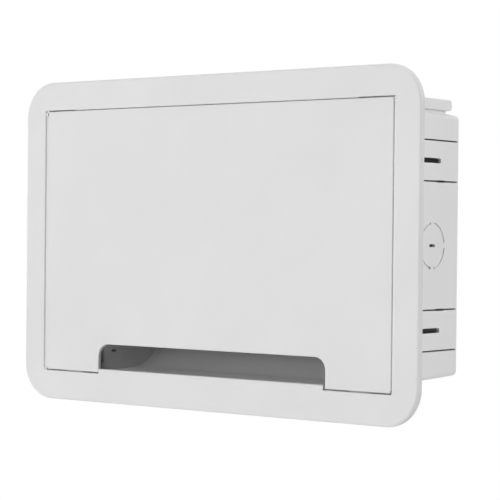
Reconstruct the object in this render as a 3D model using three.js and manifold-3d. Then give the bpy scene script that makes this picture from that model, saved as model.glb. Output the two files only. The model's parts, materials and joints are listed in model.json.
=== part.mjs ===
// Recessed in-wall fibre termination box.
// A shallow plastic tub stands between two wall studs. A trim frame covers the edge of the cut-out and carries an inset
// door, hung on two pins at its top corners, with a notch at the bottom where the patch cords leave. Inside are a splice
// tray with a hinged cover, a slack spool, a bracket with four SC adapters and a cable clamp. Two swing clamps on top of
// the tub pull the box against the back of the plasterboard.
//
// Millimetres, +Z up, +Y into the wall. The origin is the centre of the cut-out on the wall's surface, so the trim
// frame's back face is the plane y = 0 and the front of the box looks towards -Y.
import * as THREE from "three";
import { mergeVertices } from "three/addons/utils/BufferGeometryUtils.js";
import Module from "manifold-3d";

const wasm = await Module();
wasm.setup();

// ---------------------------------------------------------------- driving dimensions
const FRAME_W = 406.4, FRAME_H = 273, FRAME_R = 30, FRAME_T = 5, FRAME_EDGE = 2.5;
const OPEN_X = 180.8, OPEN_TOP = 112.0, OPEN_BOTTOM = -112.0; // opening that the door fills
const HINGE_RELIEF = 0.8, RELIEF_X0 = 146.5; // the opening is taller above each knuckle
const DOOR_X = 178, DOOR_TOP = 111.6, DOOR_BOTTOM = -111.2, DOOR_T = 3, DOOR_RECESS = 1, DOOR_EDGE = 1.0;
const NOTCH_X = 117.3, NOTCH_TOP = -87.0, NOTCH_R = 10, TONGUE_X = 116.2, TONGUE_TOP = -108.0;
const HINGE_Y = -2.0, HINGE_Z = 109.0, KNUCKLE_R = 2.0, PIN_R = 1.0, PIN_HOLE_R = 1.3;
const SKIRT_X = 184, SKIRT_Z = 115.6, LEDGE_Y0 = 3.0, LEDGE_Y1 = 5.5, LEDGE_X = 178.6, LEDGE_Z = 103.4;
const TUB_X = 181, TUB_Z = 105, TUB_Y0 = 5.8, TUB_Y1 = 87.5, WALL = 2.6, TUB_EDGE = 4.5;
const DRAFT = Math.tan((2 * Math.PI) / 180); // top and bottom walls only, the stud faces are square
const FLANGE_T = 2.6;
const BAND_Z = [81.4, 49.7], SLIT = 1.2, SLIT_Y0 = 12, SLIT_Y1 = 83; // flexing stud bands, between two slits
const SCORE = 1.7, WINDOW_Y0 = 53, WINDOW_Y1 = 65; // score depth, and where the inner scores break through
const SLOT_Z = 65.6, SLOT_H = 3.9, SLOT_Y0 = 22, SLOT_Y1 = 59; // stud screw slot in each band
const KO_R = 17.2, KO_GROOVE = 1.0, KO_DEEP = 0.9, KO_BRIDGE = 4.2, KO_Y = 47.5; // one-inch knock-out
const KO_TOP_X = 105, KO_LOW_X = 146; // knock-outs of the top wall, and those of the floor and the rear, beside the trough
const LUG_X0 = 166, LUG_Y1 = 74.5, LUG_Z0 = 104.9, LUG_Z1 = 113.4, LUG_R = 3, LUG_NECK_Y1 = 68.5;
const CLAMP_X = 157, CLAMP_Z = 109.2, CLAMP_SCREW_R = 2.0, CLAMP_NUT_Y = 66.3;
const SCREWS = [[-88, 107.6], [88, 107.6], [-130, -107.6], [130, -107.6]]; // frame screws
// Cable trough under the notch: its floor is lower than the tub's and curves up into the rear wall.
const TROUGH_X = 119.5, TROUGH_Z = -109, TROUGH_WALL = 2.4, CHEEK_TOP = -84, COVE_R = 45, SILL_Z = -108.6;
const REAR = TUB_Y1 - WALL; // inner face of the rear wall
const COVE_Y = REAR - COVE_R, COVE_Z = TROUGH_Z + COVE_R; // centre of the trough's curve

// ---------------------------------------------------------------- materials
const mat = (color, roughness, metalness = 0, extra = {}) =>
  new THREE.MeshStandardMaterial({ color, roughness, metalness, ...extra });
const WHITE = mat(0xe6e6e6, 0.55);
const TUB_WHITE = mat(0xdededf, 0.6);
const TRAY_GREY = mat(0xc9ccd0, 0.5);
const CLEAR = mat(0xe8f0f4, 0.12, 0, { transparent: true, opacity: 0.35 });
const GREEN = mat(0x2f8f4e, 0.35);
const CAP = mat(0xf2f2ee, 0.6);
const STEEL = mat(0xb9bcc0, 0.35, 1);
const NICKEL = mat(0xd3d3d0, 0.2, 1);
const BRACKET = mat(0xcfd1d3, 0.45, 0.6);

// ---------------------------------------------------------------- helpers
// A three.js geometry as a solid, so that it can be joined and cut.
function solid(geometry) {
  let g = geometry.index ? geometry.toNonIndexed() : geometry.clone();
  g.deleteAttribute("normal");
  g.deleteAttribute("uv");
  g = mergeVertices(g, 1e-4);
  return new wasm.Manifold(
    new wasm.Mesh({
      numProp: 3,
      vertProperties: new Float32Array(g.attributes.position.array),
      triVerts: new Uint32Array(g.index.array),
    }),
  );
}
const move = (g, x, y, z) => g.translate(x, y, z);
const box = (x0, x1, y0, y1, z0, z1) =>
  solid(new THREE.BoxGeometry(x1 - x0, y1 - y0, z1 - z0).translate((x0 + x1) / 2, (y0 + y1) / 2, (z0 + z1) / 2));
// Round bar along one axis: a and b are the centre's other two coordinates, in X, Y, Z order.
function rod(axis, r, from, to, a, b, n = 12) {
  const g = new THREE.CylinderGeometry(r, r, to - from, n, 1);
  const m = (from + to) / 2;
  if (axis === "x") return solid(g.rotateZ(-Math.PI / 2).translate(m, a, b));
  if (axis === "y") return solid(g.translate(a, m, b));
  return solid(g.rotateX(Math.PI / 2).translate(a, b, m));
}
// Rounded rectangle, with one radius for each corner: lower left, lower right, upper right, upper left.
function roundRect(x0, x1, z0, z1, r) {
  const [a, b, c, d] = Array.isArray(r) ? r : [r, r, r, r];
  const s = new THREE.Shape();
  s.moveTo(x0 + a, z0);
  s.lineTo(x1 - b, z0);
  if (b) s.absarc(x1 - b, z0 + b, b, -Math.PI / 2, 0, false);
  s.lineTo(x1, z1 - c);
  if (c) s.absarc(x1 - c, z1 - c, c, 0, Math.PI / 2, false);
  s.lineTo(x0 + d, z1);
  if (d) s.absarc(x0 + d, z1 - d, d, Math.PI / 2, Math.PI, false);
  s.lineTo(x0, z0 + a);
  if (a) s.absarc(x0 + a, z0 + a, a, Math.PI, 1.5 * Math.PI, false);
  return s;
}
// A shape drawn in X and Z, swept from y0 to y1, with an optional rounded edge at both ends.
function sweepY(shape, y0, y1, segments = 4, edge = 0, edgeSegments = 2) {
  const g = new THREE.ExtrudeGeometry(shape, {
    depth: y1 - y0 - 2 * edge,
    curveSegments: segments,
    bevelEnabled: edge > 0,
    bevelSize: edge,
    bevelThickness: edge,
    bevelOffset: -edge,
    bevelSegments: edgeSegments,
  });
  return g.rotateX(Math.PI / 2).translate(0, y1 - edge, 0);
}
// A shape drawn in Y and Z, swept from x0 to x1.
function sweepX(shape, x0, x1, segments = 4) {
  const g = new THREE.ExtrudeGeometry(shape, { depth: x1 - x0, curveSegments: segments, bevelEnabled: false });
  const m = new THREE.Matrix4().makeBasis(new THREE.Vector3(0, 1, 0), new THREE.Vector3(0, 0, 1), new THREE.Vector3(1, 0, 0));
  return g.applyMatrix4(m).translate(x0, 0, 0);
}
const join = (...parts) => parts.reduce((a, b) => a.add(b));
const cut = (body, ...tools) => tools.reduce((a, b) => a.subtract(b), body);
const both = (f) => [f(1), f(-1)];

const root = new THREE.Group();
function add(name, shape, material, parent = root, position = [0, 0, 0], rotation = [0, 0, 0]) {
  let g = shape;
  if (!shape.isBufferGeometry) {
    const m = shape.getMesh();
    const v = new Float32Array(m.numVert * 3);
    for (let i = 0; i < m.numVert; i++) v.set(m.vertProperties.subarray(i * m.numProp, i * m.numProp + 3), i * 3);
    g = new THREE.BufferGeometry();
    g.setAttribute("position", new THREE.BufferAttribute(v, 3));
    g.setIndex(new THREE.BufferAttribute(new Uint32Array(m.triVerts), 1));
    g.computeVertexNormals();
  }
  const mesh = new THREE.Mesh(g, material);
  mesh.name = name;
  mesh.position.set(...position);
  mesh.rotation.set(...rotation);
  parent.add(mesh);
  return mesh;
}

// ---------------------------------------------------------------- trim frame
{
  const half = FRAME_W / 2, up = FRAME_H / 2;
  // The plate's front edge is rounded; its back is cut flat on the wall plane.
  let plate = solid(sweepY(roundRect(-half, half, -up, up, FRAME_R), -FRAME_T, FRAME_T, 9, FRAME_EDGE, 3));
  plate = cut(plate, box(-half - 5, half + 5, 0, FRAME_T + 5, -up - 5, up + 5));
  const opening = solid(sweepY(roundRect(-OPEN_X, OPEN_X, OPEN_BOTTOM, OPEN_TOP, [3.5, 3.5, 0, 0]), -FRAME_T - 1, 1, 3));
  const reliefs = both((s) => {
    const a = s > 0 ? RELIEF_X0 : -OPEN_X, b = s > 0 ? OPEN_X : -RELIEF_X0;
    return box(a, b, -FRAME_T - 1, LEDGE_Y0, OPEN_TOP - 1, OPEN_TOP + HINGE_RELIEF);
  });
  const skirt = cut(
    solid(sweepY(roundRect(-SKIRT_X, SKIRT_X, -SKIRT_Z, SKIRT_Z, 4), -0.5, LEDGE_Y1, 3)),
    box(-OPEN_X, OPEN_X, -1, LEDGE_Y0, OPEN_BOTTOM, OPEN_TOP),
    box(-LEDGE_X, LEDGE_X, -1, LEDGE_Y1 + 1, -LEDGE_Z, LEDGE_Z),
    box(-TROUGH_X, TROUGH_X, -1, LEDGE_Y1 + 1, SILL_Z, -100),
  );
  let body = join(cut(plate, opening), skirt);
  body = cut(body, ...reliefs);
  // Stop lips behind the door's long sides, a tongue that closes the notch's foot, and a pad for each magnet.
  const lips = both((s) => (s > 0 ? box(176.4, OPEN_X + 0.2, -0.7, LEDGE_Y0 + 0.2, -112.2, 103) : box(-OPEN_X - 0.2, -176.4, -0.7, LEDGE_Y0 + 0.2, -112.2, 103)));
  const tongue = solid(sweepX(roundRect(-FRAME_T, -1.2, OPEN_BOTTOM - 0.5, TONGUE_TOP, [0, 0, 0.5, 1.2]), -TONGUE_X, TONGUE_X, 3));
  const pads = both((s) => cut(
    box(s * 148 - 9, s * 148 + 9, -0.5, LEDGE_Y0 + 0.2, -112.2, -102.4),
    box(s * 148 - 6.3, s * 148 + 6.3, -0.6, LEDGE_Y0 + 0.15, -110.5, -104.1),
  ));
  const sill = box(-TONGUE_X, TONGUE_X, -1.5, LEDGE_Y0 + 0.2, OPEN_BOTTOM - 0.2, SILL_Z);
  body = join(body, ...lips, tongue, sill, ...pads);
  const holes = [];
  for (const s of [1, -1]) {
    holes.push(rod("y", 2.5, 2, 7, s * CLAMP_X, CLAMP_Z, 12));
    holes.push(s > 0 ? rod("x", PIN_HOLE_R, 180, 183.7, HINGE_Y, HINGE_Z, 12) : rod("x", PIN_HOLE_R, -183.7, -180, HINGE_Y, HINGE_Z, 12));
  }
  for (const [x, z] of SCREWS) holes.push(rod("y", 2.0, 2, 7, x, z, 10));
  add("trim_frame", cut(body, ...holes), WHITE);
}

// ---------------------------------------------------------------- door, in its own group about the hinge line
const doorGroup = new THREE.Group();
root.add(doorGroup);
{
  const y0 = -FRAME_T + DOOR_RECESS, y1 = y0 + DOOR_T;
  const s = new THREE.Shape();
  const r = 3;
  s.moveTo(-DOOR_X + r, DOOR_BOTTOM);
  s.lineTo(-NOTCH_X, DOOR_BOTTOM);
  s.lineTo(-NOTCH_X, NOTCH_TOP - NOTCH_R);
  s.absarc(-NOTCH_X + NOTCH_R, NOTCH_TOP - NOTCH_R, NOTCH_R, Math.PI, Math.PI / 2, true);
  s.lineTo(NOTCH_X - NOTCH_R, NOTCH_TOP);
  s.absarc(NOTCH_X - NOTCH_R, NOTCH_TOP - NOTCH_R, NOTCH_R, Math.PI / 2, 0, true);
  s.lineTo(NOTCH_X, DOOR_BOTTOM);
  s.lineTo(DOOR_X - r, DOOR_BOTTOM);
  s.absarc(DOOR_X - r, DOOR_BOTTOM + r, r, -Math.PI / 2, 0, false);
  s.lineTo(DOOR_X, DOOR_TOP);
  s.lineTo(-DOOR_X, DOOR_TOP);
  s.lineTo(-DOOR_X, DOOR_BOTTOM + r);
  s.absarc(-DOOR_X + r, DOOR_BOTTOM + r, r, Math.PI, 1.5 * Math.PI, false);
  const leaf = solid(sweepY(s, y0, y1, 7, DOOR_EDGE, 2));
  const t = 1.6, back = y1 - 0.2, deep = y1 + 3.4;
  const ribs = [
    box(-171, 171, back, deep, 99, 99 + t),
    box(-171, 171, back, deep, 10, 10 + t),
    box(-171, 171, back, deep, -82, -82 + t),
  ];
  for (const x of [-171, -57, 57 - t, 171 - t]) ribs.push(box(x, x + t, back, deep, x > -100 && x < 100 ? -82 : -100, 99 + t));
  for (const x of [-123, 123 - t]) ribs.push(box(x, x + t, back, deep, -100, -82 + t));
  ribs.push(box(-171, -123, back, deep, -100, -100 + t), box(123, 171, back, deep, -100, -100 + t));
  const knuckles = both((q) => (q > 0 ? rod("x", KNUCKLE_R, 148, DOOR_X - 0.2, HINGE_Y, HINGE_Z, 14) : rod("x", KNUCKLE_R, -DOOR_X + 0.2, -148, HINGE_Y, HINGE_Z, 14)));
  let door = join(leaf, ...ribs, ...knuckles);
  door = cut(
    door,
    rod("x", PIN_HOLE_R, 165.5, 179, HINGE_Y, HINGE_Z, 12),
    rod("x", PIN_HOLE_R, -179, -165.5, HINGE_Y, HINGE_Z, 12),
    ...both((q) => box(q * 148 - 7.3, q * 148 + 7.3, y1 - 1.2, y1 + 0.5, -110.1, -104.5)),
  );
  add("door", door, WHITE, doorGroup);
  const pin = new THREE.CylinderGeometry(PIN_R, PIN_R, 17.4, 12).rotateZ(Math.PI / 2);
  add("hinge_pin_right", pin, STEEL, doorGroup, [174.7, HINGE_Y, HINGE_Z]);
  add("hinge_pin_left", pin.clone(), STEEL, doorGroup, [-174.7, HINGE_Y, HINGE_Z]);
  const strike = new THREE.BoxGeometry(14, 0.8, 5);
  add("strike_plate_right", strike, STEEL, doorGroup, [148, y1 - 0.5, -107.3]);
  add("strike_plate_left", strike.clone(), STEEL, doorGroup, [-148, y1 - 0.5, -107.3]);
}
{
  const magnet = new THREE.BoxGeometry(12, 2.8, 5.8);
  add("catch_magnet_right", magnet, NICKEL, root, [148, 1.45, -107.3]);
  add("catch_magnet_left", magnet.clone(), NICKEL, root, [-148, 1.45, -107.3]);
}

// ---------------------------------------------------------------- back tub
// Score groove and pry slot of one knock-out. Drawn in the plane of a wall with +Z pointing out of it and its outer face
// at zero; place puts the tool on the wall. The groove is interrupted by four bridges.
function knockout(place) {
  const tools = [];
  const half = Math.asin(KO_BRIDGE / 2 / KO_R);
  for (let q = 0; q < 4; q++) {
    const a0 = (q * Math.PI) / 2 + half, a1 = ((q + 1) * Math.PI) / 2 - half;
    const s = new THREE.Shape();
    s.absarc(0, 0, KO_R + KO_GROOVE / 2, a0, a1, false);
    s.absarc(0, 0, KO_R - KO_GROOVE / 2, a1, a0, true);
    tools.push(place(new THREE.ExtrudeGeometry(s, { depth: KO_DEEP + 1, curveSegments: 4, bevelEnabled: false }).translate(0, 0, -KO_DEEP)));
  }
  tools.push(place(new THREE.ExtrudeGeometry(roundRect(-4.1, 4.1, -1.1, 1.1, 0.9), { depth: WALL + 2, curveSegments: 1, bevelEnabled: false }).translate(0, 0, -WALL - 1)));
  return tools.map(solid);
}
const screwBosses = []; // [x, z, front y] of each boss on the rear wall
{
  // Draft: heights shrink towards the rear, about the mid height.
  const drafted = (g) => {
    const p = g.attributes.position;
    for (let i = 0; i < p.count; i++) {
      const z = p.getZ(i), lean = DRAFT * Math.max(0, p.getY(i) - TUB_Y0);
      p.setZ(i, z > 0 ? z - lean : z + lean);
    }
    return g;
  };
  const E = TUB_EDGE;
  const shell = (inset, y1, edge, r) => drafted(sweepY(roundRect(-TUB_X + inset, TUB_X - inset, -TUB_Z + inset, TUB_Z - inset, r), TUB_Y0 - 12, y1, 3, edge, 3));
  const trimFront = box(-220, 220, -40, TUB_Y0, -150, 150);
  const outer = cut(solid(shell(0, TUB_Y1, E, 5)), trimFront);
  const inner = solid(shell(WALL, REAR, E - 1.5, 3.8));
  const flange = solid(sweepY(roundRect(-SKIRT_X, SKIRT_X, -SKIRT_Z, SKIRT_Z, 4), TUB_Y0, TUB_Y0 + FLANGE_T, 3));
  const bosses = [];
  for (const [x, z] of SCREWS) bosses.push(rod("y", 4, TUB_Y0 + 1, 22, x, z, 10));
  // Corner lugs on the top wall: the clamp's guide, standing on a set-back neck.
  const lugs = both((s) => {
    const x0 = s > 0 ? LUG_X0 : -TUB_X, x1 = s > 0 ? TUB_X : -LUG_X0;
    const head = solid(sweepX(roundRect(TUB_Y0 + 1, LUG_Y1, LUG_Z0, LUG_Z1, [0, LUG_R, LUG_R, 0]), x0, x1, 4));
    return join(head, box(x0 + 2.2, x1 - 2.2, TUB_Y0 + 1, LUG_NECK_Y1, 100.8, LUG_Z0 + 0.5));
  });
  // End bearing of each clamp screw.
  const posts = both((s) => box(s * CLAMP_X - 4.5, s * CLAMP_X + 4.5, 73, 77, 100.9, 113.4));
  let tub = join(outer, flange, ...bosses, ...lugs, ...posts);
  tub = cut(tub, inner);
  // Standing bosses on the rear wall, inside.
  screwBosses.push([-160, 12, 73], [-26, 12, 73], [-160, 84, 73], [-26, 84, 73]); // splice tray
  screwBosses.push([20, 4, 78], [100, 4, 78]); // adapter bracket
  screwBosses.push([104, 60, 78]); // slack spool
  screwBosses.push([-121, -52, 76], [-99, -52, 76]); // cable clamp
  for (const [x, z, y] of screwBosses) tub = join(tub, rod("y", 4, y, REAR + 0.5, x, z, 10));
  // The trough: a belly under the tub, closed at each end by a cheek, with the corner behind it rounded off.
  const bend = (r, a0, a1, n) => Array.from({ length: n + 1 }, (_, i) => {
    const a = ((a0 + ((a1 - a0) * i) / n) * Math.PI) / 180;
    return new THREE.Vector2(COVE_Y + r * Math.cos(a), COVE_Z + r * Math.sin(a));
  });
  const profile = (points, x) => solid(sweepX(new THREE.Shape(points), -x, x));
  const v2 = (y, z) => new THREE.Vector2(y, z);
  const outerR = COVE_R + TROUGH_WALL, endX = TROUGH_X + TROUGH_WALL;
  const cheekY = COVE_Y + Math.sqrt(COVE_R ** 2 - (CHEEK_TOP - COVE_Z) ** 2);
  const cheekA = (Math.atan2(CHEEK_TOP - COVE_Z, cheekY - COVE_Y) * 180) / Math.PI;
  const belly = profile([v2(TUB_Y0, TROUGH_Z - TROUGH_WALL), ...bend(outerR, -90, 0, 12), v2(TUB_Y0, COVE_Z)], endX);
  const plate = new THREE.Shape([
    v2(TUB_Y0 + 1, CHEEK_TOP), v2(TUB_Y0 + 1, -103.5), v2(69, -102.3), v2(81, -101.8), v2(85.3, -97), v2(85.3, COVE_Z - 0.5),
    ...bend(COVE_R, -1, cheekA, 4),
  ]);
  const cheeks = both((s) => solid(sweepX(plate, Math.min(s * TROUGH_X, s * endX), Math.max(s * TROUGH_X, s * endX))));
  tub = join(tub, belly);
  tub = cut(
    tub,
    profile([...bend(outerR, -90, 0, 12), v2(95, COVE_Z), v2(95, -120), v2(COVE_Y, -120)], TROUGH_X),
    profile([v2(TUB_Y0 - 1, TROUGH_Z), ...bend(COVE_R, -90, 0, 12), v2(TUB_Y0 - 1, COVE_Z)], TROUGH_X),
    profile([v2(TUB_Y0 - 1, CHEEK_TOP), ...bend(COVE_R, cheekA, 0, 4), v2(TUB_Y0 - 1, COVE_Z)], endX + 0.6),
  );
  tub = join(tub, ...cheeks);
  const tools = [];
  // Tie slots in the trough's floor and cheeks, and two drain holes.
  tools.push(box(-0.6, 0.6, 14, 22.5, -114, -107), box(-0.6, 0.6, 24.5, 33, -114, -107), box(-124, -118, 15, 22, -94.6, -92.6), box(118, 124, 15, 22, -94.6, -92.6));
  for (const x of [-80, 80]) tools.push(rod("z", 1.6, -114, -107, x, 12, 8));
  for (const [x, z, y] of screwBosses) tools.push(rod("y", 1.6, y - 1, REAR - 0.8, x, z, 8));
  for (const [x, z] of SCREWS) tools.push(rod("y", 1.8, TUB_Y0 - 1, 19, x, z, 8));
  for (const sx of [1, -1]) {
    tools.push(rod("y", 2.5, TUB_Y0 - 1, 80, sx * CLAMP_X, CLAMP_Z, 10));
    const xa = sx > 0 ? TUB_X - WALL - 1 : -TUB_X - 1, xb = sx > 0 ? TUB_X + 1 : -TUB_X + WALL + 1;
    for (const sz of [1, -1]) {
      // Stud bands: score lines above and below, and a screw slot between them.
      const skin = sx > 0 ? TUB_X - SCORE : -TUB_X + SCORE, out = sx * (TUB_X + 1);
      for (const z of BAND_Z) tools.push(box(Math.min(skin, out), Math.max(skin, out), SLIT_Y0, SLIT_Y1, sz * z - SLIT / 2, sz * z + SLIT / 2));
      tools.push(box(xa, xb, WINDOW_Y0, WINDOW_Y1, sz * BAND_Z[1] - SLIT / 2 + 0.05, sz * BAND_Z[1] + SLIT / 2 - 0.05));
      tools.push(solid(sweepX(roundRect(SLOT_Y0, SLOT_Y1, sz * SLOT_Z - SLOT_H / 2, sz * SLOT_Z + SLOT_H / 2, 1.5), xa, xb, 2)));
    }
    const side = new THREE.Matrix4().makeBasis(new THREE.Vector3(0, sx, 0), new THREE.Vector3(0, 0, 1), new THREE.Vector3(sx, 0, 0));
    tools.push(...knockout((g) => g.applyMatrix4(side).translate(sx * TUB_X, KO_Y, 0)));
    // Two more in the top wall, two in the bottom wall, tilted with the draft, and two low in the rear wall.
    for (const x of sx > 0 ? [-KO_TOP_X, KO_TOP_X] : [-KO_LOW_X, KO_LOW_X]) {
      const lean = sx > 0 ? -(2 * Math.PI) / 180 : Math.PI + (2 * Math.PI) / 180;
      const z = sx * (TUB_Z - DRAFT * (KO_Y - TUB_Y0));
      tools.push(...knockout((g) => g.rotateX(lean).translate(x, KO_Y, z)));
    }
    tools.push(...knockout((g) => g.rotateX(-Math.PI / 2).translate(sx * KO_LOW_X, TUB_Y1, -64)));
  }
  tub = cut(tub, ...tools);
  add("back_tub", tub, TUB_WHITE);
}

// ---------------------------------------------------------------- screws
// Pan-head screw, drawn pointing along +Y with its head's underside on y = 0, with a cross recess.
function panScrew(shankR, shankL, headR, headH) {
  const profile = [
    new THREE.Vector2(0, -shankL), new THREE.Vector2(shankR, -shankL + shankR), new THREE.Vector2(shankR, 0), new THREE.Vector2(headR, 0), new THREE.Vector2(headR, headH * 0.55),
    new THREE.Vector2(headR * 0.72, headH), new THREE.Vector2(0, headH),
  ];
  const turned = solid(new THREE.LatheGeometry(profile, 10).rotateX(Math.PI));
  const d = headH * 0.6, a = headR * 0.55, w = headR * 0.13;
  return cut(turned, box(-a, a, -headH - 1, -headH + d, -w, w), box(-w, w, -headH - 1, -headH + d, -a, a));
}
const place = (name, shape, material, list) => list.forEach((p, i) => add(name + "_" + (i + 1), shape, material, root, p));
place("frame_screw", panScrew(1.5, 13, 3.2, 1.5), STEEL, SCREWS.map(([x, z]) => [x, 2.8, z]));
const small = panScrew(1.25, 7, 2.7, 1.7);

// ---------------------------------------------------------------- swing clamps
for (const [s, side] of [[1, "right"], [-1, "left"]]) {
  const g = new THREE.Group();
  g.position.set(s * CLAMP_X, 0, CLAMP_Z);
  root.add(g);
  add("clamp_screw_" + side, panScrew(CLAMP_SCREW_R, 77, 3.2, 1.5), STEEL, g, [0, 2.8, 0]);
  const nut = cut(box(-3.5, 3.5, 0, 3, -3.5, 3.5), rod("y", CLAMP_SCREW_R + 0.3, -1, 4, 0, 0, 12));
  add("clamp_nut_" + side, nut, STEEL, g, [0, CLAMP_NUT_Y, 0]);
  const arm = solid(sweepY(roundRect(-24, 0, -3.8, 3.8, [3, 0, 0, 3]), 0, 6, 3));
  const wing = cut(join(rod("y", 4.1, 0, 6, 0, 0, 14), arm, box(-23, -19, -1.6, 0.5, -3, 3)), rod("y", CLAMP_SCREW_R + 0.35, -3, 8, 0, 0, 12));
  // The left wing is the same part turned round, so that both lie inboard.
  add("clamp_wing_" + side, wing, WHITE, g, [0, CLAMP_NUT_Y - 6.4, 0], [0, s > 0 ? 0 : Math.PI, 0]);
}

// ---------------------------------------------------------------- splice tray with hinged cover
const TRAY = { x0: -168, x1: -18, z0: 2, z1: 95, y0: 59.8, y1: 72.6 };
const LID_Y = 58.7, LID_Z = 97.3;
{
  const { x0, x1, z0, z1, y0, y1 } = TRAY, w = 1.6;
  const pan = cut(
    solid(sweepY(roundRect(x0, x1, z0, z1, 8), y0, y1, 3)),
    solid(sweepY(roundRect(x0 + w, x1 - w, z0 + w, z1 - w, 6.5), y0 - 1, y1 - 2, 3)),
  );
  // Snap-in fibre guide: a thin base ring that carries two half-round walls.
  const guide = () => join(
    cut(rod("y", 21, 0, 10.0, 0, 0, 20), rod("y", 19.4, -1, 11, 0, 0, 20), box(-3, 3, -1, 8.8, -22, 22)),
  );
  const ears = [[-150, -146.4], [-39.6, -36]].map(([a, b]) => box(a, b, LID_Y - 2.2, y0 + 3, 93.6, LID_Z + 2.2));
  let tray = join(pan, ...ears);
  // Fibre retainers reach in over the pan from its long walls.
  for (const x of [-118, -68]) tray = join(tray, box(x - 4, x + 4, y0 + 0.2, y0 + 1.6, z0 + 0.5, z0 + 9));
  for (const [x, z] of screwBosses.slice(0, 4)) tray = cut(tray, rod("y", 1.7, y1 - 4, y1 + 2, x, z, 8));
  tray = cut(tray, ...[-150, -36].map((x) => box(x - 4, x + 4, y0 - 1, y1 - 4, z0 - 1, z0 + w + 0.5)));
  tray = cut(tray, rod("x", 1.25, -151, -35, LID_Y, LID_Z, 10));
  add("splice_tray", tray, TRAY_GREY);

  const lidBody = join(
    box(-165, -21, LID_Y - 0.6, LID_Y + 0.6, 51, 96.4),
    box(-165, -21, LID_Y - 1.8, LID_Y + 0.6, 51, 52.4),
    rod("x", 1.6, -145.6, -130, LID_Y, LID_Z, 10), rod("x", 1.6, -56, -40.4, LID_Y, LID_Z, 10),
    rod("x", 0.9, -149.6, -145, LID_Y, LID_Z, 8), rod("x", 0.9, -41, -36.4, LID_Y, LID_Z, 8),
  );
  const lid = cut(lidBody, box(-151, -146.1, LID_Y - 2, LID_Y + 2, 92.6, 96.3), box(-39.9, -35, LID_Y - 2, LID_Y + 2, 92.6, 96.3));
  const lidGroup = new THREE.Group();
  root.add(lidGroup);
  add("tray_cover", lid, CLEAR, lidGroup);
  add("fiber_guide_1", guide(), TRAY_GREY, root, [-140, y1 - 12.3, 50]);
  add("fiber_guide_2", guide(), TRAY_GREY, root, [-46, y1 - 12.3, 50]);
  // Combs that grip the splice sleeves.
  const comb = () => {
    let c = box(-12, 12, 0, 8, -17, 17);
    for (let i = 0; i < 6; i++) c = cut(c, box(-9.5 + i * 3.8 - 1.25, -9.5 + i * 3.8 + 1.25, -1, 5.6, -18, 18));
    return cut(c, box(-14, 14, -1, 5.6, -9, 9));
  };
  add("splice_holder_1", comb(), TRAY_GREY, root, [-106.2, y1 - 10.3, 46]);
  add("splice_holder_2", comb(), TRAY_GREY, root, [-79.8, y1 - 10.3, 46]);
  place("tray_screw", small, STEEL, screwBosses.slice(0, 4).map(([x, z]) => [x, y1 - 2.2, z]));
}

// ---------------------------------------------------------------- adapter bracket, adapters and dust caps
const SHELF_Z = -14, ADAPTER_Y = 57, ADAPTER_X = [30, 50, 70, 90];
{
  let bracket = join(box(10, 110, 44, 77.7, SHELF_Z, SHELF_Z + 2), box(10, 110, 75.7, 77.7, SHELF_Z, 12));
  bracket = cut(
    bracket,
    ...ADAPTER_X.map((x) => box(x - 5, x + 5, ADAPTER_Y - 6.8, ADAPTER_Y + 6.8, SHELF_Z - 1, SHELF_Z + 3)),
    ...[20, 100].map((x) => rod("y", 1.7, 75, 79, x, 4, 8)),
  );
  bracket = join(bracket, ...[10, 108].map((x) => {
    const s = new THREE.Shape();
    s.moveTo(50, SHELF_Z + 1); s.lineTo(77, SHELF_Z + 1); s.lineTo(77, 10);
    return solid(sweepX(s, x, x + 2, 1));
  }));
  add("adapter_bracket", bracket, BRACKET);
  place("bracket_screw", small, STEEL, [[20, 75.5, 4], [100, 75.5, 4]]);
  // SC adapter: two keyed sockets end to end, with a flange that seats on the shelf.
  const L = 13.6;
  let adapter = join(box(-4.7, 4.7, -6.5, 6.5, -L, L), box(-4.7, 4.7, -11, 11, 2.3, 4.3));
  for (const e of [1, -1]) {
    const port = e > 0 ? box(-3.6, 3.6, -4.6, 4.6, 2.5, L + 1) : box(-3.6, 3.6, -4.6, 4.6, -L - 1, -2.5);
    const key = e > 0 ? box(-1, 1, 4, 7, 6, L + 1) : box(-1, 1, 4, 7, -L - 1, -6);
    const sleeve = e > 0 ? rod("z", 1.5, 0, L - 4, 0, 0, 8) : rod("z", 1.5, -L + 4, 0, 0, 0, 8);
    adapter = join(cut(adapter, port, key), sleeve);
  }
  // Dust cap: a finger plate with a hollow plug that slips over the ferrule sleeve.
  const cap = cut(
    join(box(-5.4, 5.4, -7.2, 7.2, 0.3, 2.7), box(-3.2, 3.2, -4.2, 4.2, -8, 0.5), box(-3.6, 3.6, -1, 1, 2.5, 8)),
    rod("z", 2.0, -9, -0.6, 0, 0, 8),
  );
  ADAPTER_X.forEach((x, i) => {
    const g = new THREE.Group();
    g.position.set(x, ADAPTER_Y, SHELF_Z);
    root.add(g);
    add("sc_adapter_" + (i + 1), adapter, GREEN, g);
    add("dust_cap_top_" + (i + 1), cap, CAP, g, [0, 0, L]);
    add("dust_cap_bottom_" + (i + 1), cap, CAP, g, [0, 0, -L], [Math.PI, 0, 0]);
  });
}

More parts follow.
